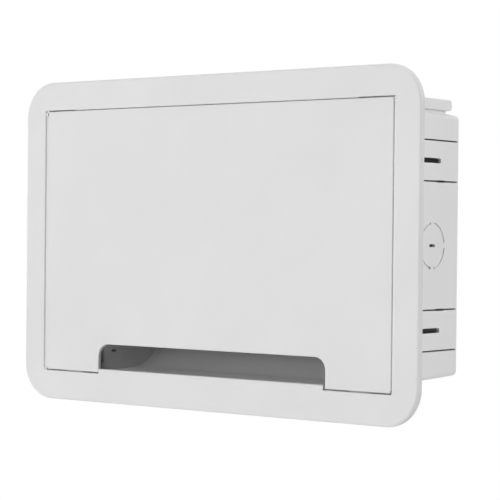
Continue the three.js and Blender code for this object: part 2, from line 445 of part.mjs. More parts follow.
// ---------------------------------------------------------------- slack spool
{
  const [x, z] = [104, 60];
  let spool = join(
    cut(rod("y", 27, 68, 84.4, x, z, 24), rod("y", 25, 67, 86, x, z, 24)),
    cut(rod("y", 25.5, 75.7, 77.7, x, z, 24), rod("y", 1.7, 74, 79, x, z, 8)),
  );
  for (const [dx, dz] of [[1, 0], [-1, 0], [0, 1], [0, -1]]) {
    spool = join(spool, dx ? box(Math.min(x + dx * 25.5, x + dx * 37), Math.max(x + dx * 25.5, x + dx * 37), 68, 69.8, z - 6, z + 6) : box(x - 6, x + 6, 68, 69.8, Math.min(z + dz * 25.5, z + dz * 37), Math.max(z + dz * 25.5, z + dz * 37)));
  }
  add("slack_spool", spool, TRAY_GREY);
  add("spool_screw", small, STEEL, root, [x, 75.5, z]);
}

// ---------------------------------------------------------------- cable clamp
{
  const [x, z] = [-110, -52];
  const s = new THREE.Shape();
  s.moveTo(-16, 0); s.lineTo(-6.2, 0);
  s.absarc(0, 0, 6.2, Math.PI, 0, true);
  s.lineTo(16, 0); s.lineTo(16, 2.4); s.lineTo(8.4, 2.4);
  s.absarc(0, 0, 8.6, Math.asin(2.4 / 8.6), Math.PI - Math.asin(2.4 / 8.6), false);
  s.lineTo(-16, 2.4); s.lineTo(-16, 0);
  const g = new THREE.ExtrudeGeometry(s, { depth: 10, curveSegments: 5, bevelEnabled: false });
  // Drawn in X and height above the bosses; the height points towards the door.
  const m = new THREE.Matrix4().makeBasis(new THREE.Vector3(1, 0, 0), new THREE.Vector3(0, -1, 0), new THREE.Vector3(0, 0, -1));
  const saddle = cut(solid(g.applyMatrix4(m).translate(x, 75.7, z + 5)), rod("y", 1.7, 70, 77, x - 11, z, 8), rod("y", 1.7, 70, 77, x + 11, z, 8));
  add("cable_clamp", saddle, TRAY_GREY);
  place("cable_clamp_screw", small, STEEL, [[x - 11, 73.1, z], [x + 11, 73.1, z]]);
}

export default root;
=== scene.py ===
"""Looks of the recessed fibre termination box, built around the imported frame."""
import json
import math
import bmesh
import bpy
from mathutils import Matrix, Vector

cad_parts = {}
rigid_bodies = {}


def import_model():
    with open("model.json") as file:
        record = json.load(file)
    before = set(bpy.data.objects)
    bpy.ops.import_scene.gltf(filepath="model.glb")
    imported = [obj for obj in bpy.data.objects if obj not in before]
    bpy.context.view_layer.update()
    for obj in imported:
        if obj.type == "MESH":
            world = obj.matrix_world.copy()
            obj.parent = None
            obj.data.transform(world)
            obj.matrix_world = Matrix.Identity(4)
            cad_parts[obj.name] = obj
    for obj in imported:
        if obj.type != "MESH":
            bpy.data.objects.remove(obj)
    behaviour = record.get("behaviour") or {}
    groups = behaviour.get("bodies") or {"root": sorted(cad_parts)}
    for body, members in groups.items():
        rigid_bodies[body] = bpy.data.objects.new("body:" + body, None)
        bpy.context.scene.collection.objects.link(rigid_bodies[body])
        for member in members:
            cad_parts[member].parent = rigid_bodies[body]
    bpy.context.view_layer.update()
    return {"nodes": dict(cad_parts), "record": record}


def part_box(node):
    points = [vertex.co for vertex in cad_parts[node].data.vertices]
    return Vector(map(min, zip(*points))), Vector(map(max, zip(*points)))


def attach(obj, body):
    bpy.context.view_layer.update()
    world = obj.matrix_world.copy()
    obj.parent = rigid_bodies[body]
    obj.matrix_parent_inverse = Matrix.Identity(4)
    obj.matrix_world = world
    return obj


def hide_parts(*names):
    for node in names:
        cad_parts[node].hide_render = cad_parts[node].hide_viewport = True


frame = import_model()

scene = bpy.context.scene
MM = 0.001

# ------------------------------------------------------------------ camera
# Solved viewing angle: 132 mm lens on a 36 mm sensor, about 1.5 m away, from the right of the box.
cam_data = bpy.data.cameras.new("photo_camera")
cam_data.lens = 132.0
cam_data.sensor_width = 36.0
cam_data.clip_start = 0.05
cam_data.clip_end = 60.0
cam = bpy.data.objects.new("photo_camera", cam_data)
scene.collection.objects.link(cam)
scene.camera = cam


def rotation_from_vector(rx, ry, rz):
    """Turn about the axis (rx, ry, rz) by its length, in radians."""
    v = Vector((rx, ry, rz))
    return Matrix.Rotation(v.length, 3, v.normalized())


R = rotation_from_vector(0.005797592, 0.012753176, -0.657149697)
T = Vector((-35.0916, 1479.88928, 5.742986))
origin = -(R.transposed() @ T)
m = Matrix.Identity(4)
for i in range(3):
    m[i][0] = R[0][i]
    m[i][1] = R[2][i]
    m[i][2] = -R[1][i]
    m[i][3] = (origin[i] - (5.0 if i == 1 else 0.0)) * MM
cam.matrix_world = m

# ------------------------------------------------------------------ stage and light
world = bpy.data.worlds.new("studio")
scene.world = world
world.use_nodes = True
wt = world.node_tree
bg = wt.nodes["Background"]
bg.inputs["Color"].default_value = (1.0, 1.0, 1.0, 1.0)
# A plain white surround. Its soft light comes mostly from behind the box; the soft boxes light the front.
AMBIENT_FRONT, AMBIENT_REAR = 0.05, 0.54
direction = wt.nodes.new("ShaderNodeSeparateXYZ")
wt.links.new(wt.nodes.new("ShaderNodeTexCoord").outputs["Generated"], direction.inputs[0])
ambient = wt.nodes.new("ShaderNodeMapRange")
ambient.interpolation_type = "SMOOTHSTEP"
ambient.inputs["From Min"].default_value = -0.1
ambient.inputs["From Max"].default_value = 0.35
ambient.inputs["To Min"].default_value = AMBIENT_FRONT
ambient.inputs["To Max"].default_value = AMBIENT_REAR
wt.links.new(direction.outputs["Y"], ambient.inputs["Value"])
seen = wt.nodes.new("ShaderNodeMix")
wt.links.new(wt.nodes.new("ShaderNodeLightPath").outputs["Is Camera Ray"], seen.inputs["Factor"])
wt.links.new(ambient.outputs["Result"], seen.inputs[2])
seen.inputs[3].default_value = 1.0
wt.links.new(seen.outputs[0], bg.inputs["Strength"])
scene.view_settings.view_transform = "Standard"
scene.view_settings.look = "None"
scene.view_settings.exposure = 0.0
scene.view_settings.gamma = 1.0


def area_light(name, location, target, size, power, size_y=None):
    data = bpy.data.lights.new(name, "AREA")
    data.energy = power
    data.shape = "RECTANGLE" if size_y else "SQUARE"
    data.size = size
    if size_y:
        data.size_y = size_y
    o = bpy.data.objects.new(name, data)
    scene.collection.objects.link(o)
    o.location = location
    o.rotation_euler = (Vector(target) - Vector(location)).to_track_quat("-Z", "Y").to_euler()
    o.visible_camera = False
    return o


area_light("front_box", (0.0, -3.2, 0.9), (0, 0, 0), 1.8, 56.0)
area_light("left_box", (-1.8, -2.3, 0.5), (0, 0, 0), 1.4, 4.8)
area_light("far_left_box", (-2.7, -1.7, 0.6), (0, 0, 0), 1.4, 13.0)
area_light("low_box", (-0.3, -3.2, -0.3), (0, 0, 0), 1.6, 11.0)
area_light("rear_right_box", (2.0, 0.9, 1.0), (0, 0, 0), 0.9, 23.0)
area_light("top_box", (0.0, -0.1, 3.0), (0, 0, 0), 1.6, 30.0)

# ------------------------------------------------------------------ mesh tools (millimetres)
work = bpy.data.collections.new("work")
scene.collection.children.link(work)
shown = bpy.data.collections.new("pieces")
scene.collection.children.link(shown)


def _made(bm, name="w"):
    bmesh.ops.recalc_face_normals(bm, faces=bm.faces)
    me = bpy.data.meshes.new(name)
    bm.to_mesh(me)
    bm.free()
    o = bpy.data.objects.new(name, me)
    work.objects.link(o)
    return o


def _place(axis, u, v, w):
    """A point drawn at (u, v), at w along the axis. The pair is (x, z) for y, (y, z) for x, (x, y) for z."""
    return {"y": (u, w, v), "x": (w, u, v), "z": (u, v, w)}[axis]


def prism(axis, outline, a, b):
    bm = bmesh.new()
    lo = [bm.verts.new(_place(axis, u, v, a)) for u, v in outline]
    hi = [bm.verts.new(_place(axis, u, v, b)) for u, v in outline]
    bm.faces.new(lo)
    bm.faces.new(list(reversed(hi)))
    n = len(outline)
    for i in range(n):
        j = (i + 1) % n
        bm.faces.new((lo[j], lo[i], hi[i], hi[j]))
    return _made(bm)


def rect(u0, u1, v0, v1):
    return [(u0, v0), (u1, v0), (u1, v1), (u0, v1)]


def arc(cu, cv, r, a0, a1, n):
    return [(cu + r * math.cos(math.radians(a0 + (a1 - a0) * i / n)), cv + r * math.sin(math.radians(a0 + (a1 - a0) * i / n))) for i in range(n + 1)]


def rrect(u0, u1, v0, v1, r, n=10):
    """Rounded rectangle, one radius for each corner: lower left, lower right, upper right, upper left."""
    ll, lr, ur, ul = r if isinstance(r, (list, tuple)) else (r, r, r, r)
    pts = []
    pts += arc(u1 - lr, v0 + lr, lr, -90, 0, n) if lr else [(u1, v0)]
    pts += arc(u1 - ur, v1 - ur, ur, 0, 90, n) if ur else [(u1, v1)]
    pts += arc(u0 + ul, v1 - ul, ul, 90, 180, n) if ul else [(u0, v1)]
    pts += arc(u0 + ll, v0 + ll, ll, 180, 270, n) if ll else [(u0, v0)]
    return pts


def box(x0, x1, y0, y1, z0, z1):
    return prism("y", rect(min(x0, x1), max(x0, x1), min(z0, z1), max(z0, z1)), min(y0, y1), max(y0, y1))


def rod(axis, r, a, b, cu, cv, n=40):
    return prism(axis, arc(cu, cv, r, 0, 360 * (n - 1) / n, n - 1), min(a, b), max(a, b))


def lathe(axis, profile, cu, cv, n=48):
    """Profile of (radius, along) points that starts and ends on the axis."""
    bm = bmesh.new()
    rings = []
    for r, w in profile:
        if r < 1e-6:
            rings.append([bm.verts.new(_place(axis, cu, cv, w))])
        else:
            rings.append([bm.verts.new(_place(axis, cu + r * math.cos(2 * math.pi * k / n), cv + r * math.sin(2 * math.pi * k / n), w)) for k in range(n)])
    for p, q in zip(rings, rings[1:]):
        for k in range(n):
            j = (k + 1) % n
            if len(p) == 1 and len(q) == 1:
                continue
            if len(p) == 1:
                bm.faces.new((p[0], q[k], q[j]))
            elif len(q) == 1:
                bm.faces.new((p[j], p[k], q[0]))
            else:
                bm.faces.new((p[j], p[k], q[k], q[j]))
    return _made(bm)


def _apply(o):
    dg = bpy.context.evaluated_depsgraph_get()
    me = bpy.data.meshes.new_from_object(o.evaluated_get(dg))
    o.modifiers.clear()
    old = o.data
    o.data = me
    bpy.data.meshes.remove(old)


def _boolean(a, tools, operation):
    tools = [t for t in tools]
    if not tools:
        return a
    col = bpy.data.collections.new("tools")
    scene.collection.children.link(col)
    for t in tools:
        work.objects.unlink(t)
        col.objects.link(t)
    mod = a.modifiers.new("b", "BOOLEAN")
    mod.solver = "MANIFOLD"
    mod.operation = operation
    mod.operand_type = "COLLECTION"
    mod.collection = col
    _apply(a)
    for t in tools:
        me = t.data
        bpy.data.objects.remove(t)
        bpy.data.meshes.remove(me)
    bpy.data.collections.remove(col)
    return a


def cut(a, *tools):
    return _boolean(a, tools, "DIFFERENCE")


def join(a, *others):
    return _boolean(a, others, "UNION")


def clean(o, degrees=0.3, dist=2e-3):
    bm = bmesh.new()
    bm.from_mesh(o.data)
    bmesh.ops.remove_doubles(bm, verts=bm.verts, dist=dist)
    bmesh.ops.dissolve_limit(bm, angle_limit=math.radians(degrees), verts=bm.verts, edges=bm.edges)
    bm.to_mesh(o.data)
    bm.free()
    return o


def soften(o, pick, offset, segments=4, angle=30):
    """Rounds the sharp edges whose two ends both satisfy pick."""
    bm = bmesh.new()
    bm.from_mesh(o.data)
    edges = [e for e in bm.edges if len(e.link_faces) == 2 and e.calc_face_angle(0) > math.radians(angle) and pick(e.verts[0].co) and pick(e.verts[1].co)]
    if edges:
        bmesh.ops.bevel(bm, geom=edges, offset=offset, offset_type="OFFSET", segments=segments, profile=0.5, affect="EDGES", clamp_overlap=True)
    bm.to_mesh(o.data)
    bm.free()
    return o


def shift(o, x=0, y=0, z=0):
    o.data.transform(Matrix.Translation((x, y, z)))
    return o


def spin(o, axis, degrees):
    o.data.transform(Matrix.Rotation(math.radians(degrees), 4, axis))
    return o


def copy(o):
    c = bpy.data.objects.new(o.name, o.data.copy())
    work.objects.link(c)
    return c


def both(f):
    return [f(1), f(-1)]


def piece(name, o, material, body, replaces=(), bevel=0.3, segments=2, angle=32):
    """Turns a solid in millimetres into a shown piece in metres, with its small edges rounded."""
    o.name = name
    o.data.name = name
    clean(o)
    work.objects.unlink(o)
    shown.objects.link(o)
    for p in o.data.polygons:
        p.use_smooth = True
    if bevel:
        b = o.modifiers.new("edges", "BEVEL")
        b.limit_method = "ANGLE"
        b.angle_limit = math.radians(angle)
        b.width = bevel
        b.segments = segments
        b.use_clamp_overlap = False
        b.miter_outer = "MITER_ARC"
        b.harden_normals = False
    else:
        o.data.set_sharp_from_angle(angle=math.radians(angle))
    w = o.modifiers.new("normals", "WEIGHTED_NORMAL")
    w.keep_sharp = not bevel
    w.weight = 80
    _apply(o)
    o.data.transform(Matrix.Scale(MM, 4))
    o.data.materials.clear()
    o.data.materials.append(material)
    if replaces:
        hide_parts(*replaces)
    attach(o, body)
    return o


# ------------------------------------------------------------------ materials
def _bsdf(name):
    mat = bpy.data.materials.new(name)
    mat.use_nodes = True
    nt = mat.node_tree
    return mat, nt, nt.nodes["Principled BSDF"]


def _coords(nt):
    return nt.nodes.new("ShaderNodeTexCoord").outputs["Object"]


def _noise(nt, coords, scale, detail=3.0, rough=0.55):
    n = nt.nodes.new("ShaderNodeTexNoise")
    n.inputs["Scale"].default_value = scale
    n.inputs["Detail"].default_value = detail
    n.inputs["Roughness"].default_value = rough
    nt.links.new(coords, n.inputs["Vector"])
    return n.outputs["Fac"]


def _ramp(nt, fac, lo, hi, p0=0.35, p1=0.65):
    r = nt.nodes.new("ShaderNodeValToRGB")
    r.color_ramp.elements[0].position = p0
    r.color_ramp.elements[1].position = p1
    r.color_ramp.elements[0].color = (*lo, 1)
    r.color_ramp.elements[1].color = (*hi, 1)
    nt.links.new(fac, r.inputs["Fac"])
    return r.outputs["Color"]


def _span(nt, fac, lo, hi):
    n = nt.nodes.new("ShaderNodeMapRange")
    n.inputs["From Min"].default_value = 0.3
    n.inputs["From Max"].default_value = 0.7
    n.inputs["To Min"].default_value = lo
    n.inputs["To Max"].default_value = hi
    nt.links.new(fac, n.inputs["Value"])
    return n.outputs["Result"]


def _bump(nt, shader, height, strength, distance):
    n = nt.nodes.new("ShaderNodeBump")
    n.inputs["Strength"].default_value = strength
    n.inputs["Distance"].default_value = distance
    nt.links.new(height, n.inputs["Height"])
    nt.links.new(n.outputs["Normal"], shader.inputs["Normal"])


def plastic(name, color, rough=(0.42, 0.55), grain=1600.0, depth=0.00004, strength=0.35, tint=0.012, ior=1.5, subsurface=0.0):
    """Moulded plastic: a fine spark-eroded grain, faint flow mottling and uneven gloss."""
    mat, nt, sh = _bsdf(name)
    co = _coords(nt)
    broad = _noise(nt, co, 11.0, 4.0)
    fine = _noise(nt, co, grain, 2.0, 0.6)
    lo = tuple(max(0, c - tint) for c in color)
    hi = tuple(min(1, c + tint) for c in color)
    nt.links.new(_ramp(nt, broad, lo, hi), sh.inputs["Base Color"])
    nt.links.new(_span(nt, _noise(nt, co, 70.0, 3.0), rough[0], rough[1]), sh.inputs["Roughness"])
    _bump(nt, sh, fine, strength, depth)
    sh.inputs["IOR"].default_value = ior
    if subsurface:
        sh.inputs["Subsurface Weight"].default_value = subsurface
        sh.inputs["Subsurface Radius"].default_value = (0.004, 0.004, 0.004)
        sh.inputs["Subsurface Scale"].default_value = 0.3
    return mat


def metal(name, color, rough=(0.22, 0.4), grain=900.0, strength=0.2, stretch=(1, 1, 1), tint=0.05):
    mat, nt, sh = _bsdf(name)
    co = _coords(nt)
    mp = nt.nodes.new("ShaderNodeMapping")
    mp.inputs["Scale"].default_value = stretch
    nt.links.new(co, mp.inputs["Vector"])
    fac = _noise(nt, mp.outputs["Vector"], grain, 4.0)
    lo = tuple(max(0, c - tint) for c in color)
    hi = tuple(min(1, c + tint) for c in color)
    nt.links.new(_ramp(nt, _noise(nt, co, 160.0, 3.0), lo, hi), sh.inputs["Base Color"])
    nt.links.new(_span(nt, fac, rough[0], rough[1]), sh.inputs["Roughness"])
    _bump(nt, sh, fac, strength, 0.00002)
    sh.inputs["Metallic"].default_value = 1.0
    return mat


def clear_plastic(name):
    mat, nt, sh = _bsdf(name)
    co = _coords(nt)
    nt.links.new(_ramp(nt, _noise(nt, co, 24.0, 3.0), (0.80, 0.86, 0.88), (0.87, 0.91, 0.92)), sh.inputs["Base Color"])
    nt.links.new(_span(nt, _noise(nt, co, 260.0, 4.0), 0.06, 0.16), sh.inputs["Roughness"])
    sh.inputs["Transmission Weight"].default_value = 0.88
    sh.inputs["IOR"].default_value = 1.45
    sh.inputs["Alpha"].default_value = 0.55
    return mat


TRIM = plastic("white_trim_plastic", (0.765, 0.765, 0.765))
TUB = plastic("white_tub_plastic", (0.83, 0.83, 0.83), rough=(0.5, 0.62), grain=1300.0, depth=0.00005)
GREY = plastic("grey_tray_plastic", (0.50, 0.515, 0.53), rough=(0.38, 0.5))
GREEN = plastic("green_adapter_plastic", (0.018, 0.20, 0.045), rough=(0.25, 0.36), grain=2200.0, tint=0.006)
CAP = plastic("natural_cap_plastic", (0.80, 0.80, 0.76), rough=(0.4, 0.5), subsurface=0.2)
CLEAR = clear_plastic("clear_cover_plastic")
STEEL = metal("zinc_steel", (0.55, 0.56, 0.57))
NICKEL = metal("nickel_plate", (0.62, 0.60, 0.56), rough=(0.12, 0.24))
SPRING = metal("spring_steel", (0.60, 0.60, 0.60), rough=(0.2, 0.3))
COAT = plastic("powder_coat", (0.60, 0.61, 0.615), rough=(0.4, 0.5), grain=700.0, depth=0.00012, strength=0.5)

# ------------------------------------------------------------------ dimensions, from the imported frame
lo_f, hi_f = [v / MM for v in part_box("trim_frame")]
lo_d, hi_d = [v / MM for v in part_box("door")]
lo_t, hi_t = [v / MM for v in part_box("back_tub")]
FX, FZ, FY = hi_f.x, hi_f.z, lo_f.y  # frame: half width, half height, front
DX, DTOP, DBOT, DY = hi_d.x, hi_d.z, lo_d.z, lo_d.y
OPEN_X, OPEN_TOP, OPEN_BOTTOM = DX + 2.8, DTOP + 0.33, DBOT - 0.8
RELIEF_X0, RELIEF, HEAD_ROOM = 146.5, 0.45, 112.8
NOTCH_X, NOTCH_TOP, NOTCH_R, TONGUE_X, TONGUE_TOP = 117.3, -87.0, 10.0, 116.2, -108.0
HINGE_Y, HINGE_Z = -2.0, 109.0
SKIRT_X, SKIRT_Z = hi_t.x, -lo_t.z
LEDGE_Y0, LEDGE_Y1, LEDGE_X, LEDGE_Z = 3.0, hi_f.y, 178.6, 103.4
TUB_X, TUB_Z, TUB_Y0, TUB_Y1, WALL = 181.0, 105.0, lo_t.y, hi_t.y, 2.6
DRAFT = math.tan(math.radians(2.0))
REAR = TUB_Y1 - WALL
CLAMP_X, CLAMP_Z, CLAMP_NUT_Y = 157.0, 109.2, 66.3
SCREWS = [(-88.0, 107.6), (88.0, 107.6), (-130.0, -107.6), (130.0, -107.6)]
TROUGH_X, TROUGH_Z, TROUGH_WALL, CHEEK_TOP, COVE_R, SILL_Z = 119.5, -109.0, 2.4, -84.0, 45.0, -108.6
COVE_Y, COVE_Z = REAR - COVE_R, TROUGH_Z + COVE_R


def near(a, b, tol=0.05):
    return abs(a - b) < tol


# ------------------------------------------------------------------ trim frame
def make_trim_frame():
    plate = prism("y", rrect(-FX, FX, -FZ, FZ, 30, 26), FY, 0)
    soften(plate, lambda c: near(c.y, FY), 2.4, 8)
    soften(plate, lambda c: near(c.y, 0), 0.5, 2, 60)
    cut(plate, prism("y", rrect(-OPEN_X, OPEN_X, OPEN_BOTTOM, OPEN_TOP, [3.5, 3.5, 0, 0], 8), FY - 1, 1))
    soften(plate, lambda c: near(c.y, FY) and abs(c.x) < OPEN_X + 0.1 and OPEN_BOTTOM - 0.1 < c.z < OPEN_TOP + 0.1, 1.2, 6, 60)
    skirt = prism("y", rrect(-SKIRT_X, SKIRT_X, -SKIRT_Z, SKIRT_Z, 4, 6), -0.5, LEDGE_Y1)
    cut(skirt, box(-OPEN_X, OPEN_X, -1, LEDGE_Y0, OPEN_BOTTOM, OPEN_TOP))
    cut(skirt, box(-LEDGE_X, LEDGE_X, -1, LEDGE_Y1 + 1, -LEDGE_Z, LEDGE_Z))
    cut(skirt, box(-TROUGH_X, TROUGH_X, -1, LEDGE_Y1 + 1, SILL_Z, -100))
    body = join(plate, skirt)
    cut(body, *both(lambda s: box(s * RELIEF_X0, s * OPEN_X, FY - 1, LEDGE_Y0, OPEN_TOP - 1, OPEN_TOP + RELIEF)))
    cut(body, *both(lambda s: box(s * RELIEF_X0, s * OPEN_X, -0.6, LEDGE_Y0, OPEN_TOP - 1, HEAD_ROOM)))
    lips = both(lambda s: box(s * 176.4, s * (OPEN_X + 0.2), -0.7, LEDGE_Y0 + 0.2, -112.2, 103))
    lips += both(lambda s: box(s * 178.35, s * (OPEN_X + 0.2), -3.1, LEDGE_Y0 + 0.2, OPEN_BOTTOM - 0.2, OPEN_TOP + 0.4))
    tongue = prism("x", [(FY, -114.0), (-1.2, -114.0)] + arc(-1.7, TONGUE_TOP - 0.5, 0.5, 0, 90, 4) + arc(FY + 1.2, TONGUE_TOP - 1.2, 1.2, 90, 180, 6), -TONGUE_X, TONGUE_X)
    pads = both(lambda s: cut(box(s * 148 - 9, s * 148 + 9, -0.5, LEDGE_Y0 + 0.2, -112.2, -102.4), box(s * 148 - 6.3, s * 148 + 6.3, -0.6, LEDGE_Y0 + 0.15, -110.5, -104.1)))
    sill = box(-TONGUE_X, TONGUE_X, -1.5, LEDGE_Y0 + 0.2, OPEN_BOTTOM - 0.2, SILL_Z)
    hubs = both(lambda s: soften(rod("x", 2.2, s * 178.7, s * 181.2, HINGE_Y, HINGE_Z, 36), lambda c: abs(c.x) < 179, 0.3, 2, 60))
    for extra in (*lips, tongue, sill, *pads, *hubs):
        join(body, extra)
    holes = [rod("y", 2.0, 2, 7, x, z) for x, z in SCREWS]
    for s in (1, -1):
        holes.append(rod("y", 2.5, 2, 7, s * CLAMP_X, CLAMP_Z))
        holes.append(rod("x", 1.3, s * 178, s * 183.7, HINGE_Y, HINGE_Z))
    cut(body, *holes)
    return body


piece("trim_frame_fine", make_trim_frame(), TRIM, "housing", ["trim_frame"], bevel=0, angle=28)


# ------------------------------------------------------------------ door
def make_door():
    y0, y1, r = DY, DY + 3.0, 3.0
    pts = arc(-DX + r, DBOT + r, r, 180, 270, 8) + [(-NOTCH_X, DBOT)]
    pts += arc(-NOTCH_X + NOTCH_R, NOTCH_TOP - NOTCH_R, NOTCH_R, 180, 90, 22)
    pts += arc(NOTCH_X - NOTCH_R, NOTCH_TOP - NOTCH_R, NOTCH_R, 90, 0, 22)
    pts += [(NOTCH_X, DBOT)] + arc(DX - r, DBOT + r, r, -90, 0, 8) + [(DX, DTOP), (-DX, DTOP)]
    leaf = prism("y", pts, y0, y1)
    soften(leaf, lambda c: near(c.y, y0), 1.0, 5)
    t, back, deep = 1.6, y1 - 0.2, y1 + 3.4
    ribs = [box(-171, 171, back, deep, z, z + t) for z in (99, 10, -82)]
    for x in (-171, -57, 57 - t, 171 - t):
        ribs.append(box(x, x + t, back, deep, -82 if abs(x) < 100 else -100, 99 + t))
    for x in (-123, 123 - t):
        ribs.append(box(x, x + t, back, deep, -100, -82 + t))
    ribs += [box(-171, -123, back, deep, -100, -100 + t), box(123, 171, back, deep, -100, -100 + t)]
    for b in ribs:
        join(leaf, b)
    for k in both(lambda s: rod("x", 2.0, s * 148, s * (DX - 0.2), HINGE_Y, HINGE_Z)):
        join(leaf, k)
    cut(
        leaf,
        *both(lambda s: rod("x", 1.3, s * 165.5, s * 179, HINGE_Y, HINGE_Z)),
        *both(lambda s: box(s * 148 - 7.3, s * 148 + 7.3, y1 - 1.2, y1 + 0.5, -110.1, -104.5)),
    )
    return leaf


piece("door_fine", make_door(), TRIM, "door", ["door"], bevel=0, angle=28)


def plate_with_edges(node, name, material, body, bevel=0.25, segments=3):
    lo, hi = [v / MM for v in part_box(node)]
    o = box(lo.x, hi.x, lo.y, hi.y, lo.z, hi.z)
    return piece(name, o, material, body, [node], bevel=bevel, segments=segments)


for side in ("left", "right"):
    s = 1 if side == "right" else -1
    lo, hi = [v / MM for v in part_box("hinge_pin_" + side)]
    pin = lathe("x", [(0, lo.x), (0.55, lo.x), (1.0, lo.x + 0.6), (1.0, hi.x - 0.6), (0.55, hi.x), (0, hi.x)], HINGE_Y, HINGE_Z, 32)
    piece("hinge_pin_%s_fine" % side, pin, STEEL, "door", ["hinge_pin_" + side], bevel=0, angle=50)
    plate_with_edges("strike_plate_" + side, "strike_plate_%s_fine" % side, STEEL, "door", 0.2)
    plate_with_edges("catch_magnet_" + side, "catch_magnet_%s_fine" % side, NICKEL, "housing", 0.35)


# ------------------------------------------------------------------ back tub
def drafted_box(inset, y0, y1, edge, corner, segments=7):
    bm = bmesh.new()
    x, z = TUB_X - inset, TUB_Z - inset
    verts = []
    for y in (y0, y1):
        h = z - DRAFT * (y - TUB_Y0)
        verts.append([bm.verts.new((sx * x, y, sz * h)) for sx, sz in ((-1, -1), (1, -1), (1, 1), (-1, 1))])
    bm.faces.new(verts[0])
    bm.faces.new(list(reversed(verts[1])))
    for i in range(4):
        j = (i + 1) % 4
        bm.faces.new((verts[0][j], verts[0][i], verts[1][i], verts[1][j]))
    o = _made(bm)
    bm = bmesh.new()
    bm.from_mesh(o.data)
    edges = [e for e in bm.edges if not (near(e.verts[0].co.y, y0) and near(e.verts[1].co.y, y0))]
    bmesh.ops.bevel(bm, geom=edges, offset=edge, offset_type="OFFSET", segments=segments, profile=0.5, affect="EDGES", clamp_overlap=True)
    bm.to_mesh(o.data)
    bm.free()
    return o


def ring_groove(place, radius, width, depth_from, depth_to, bridges=4, half_bridge=2.1):
    """Arcs of a round groove, with a bridge at each quarter."""
    tools = []
    half = math.degrees(math.asin(half_bridge / radius))
    for q in range(bridges):
        a0, a1 = q * 90 + half, (q + 1) * 90 - half
        pts = arc(0, 0, radius + width / 2, a0, a1, 18) + arc(0, 0, radius - width / 2, a1, a0, 18)
        tools.append(place(pts, depth_from, depth_to))
    return tools


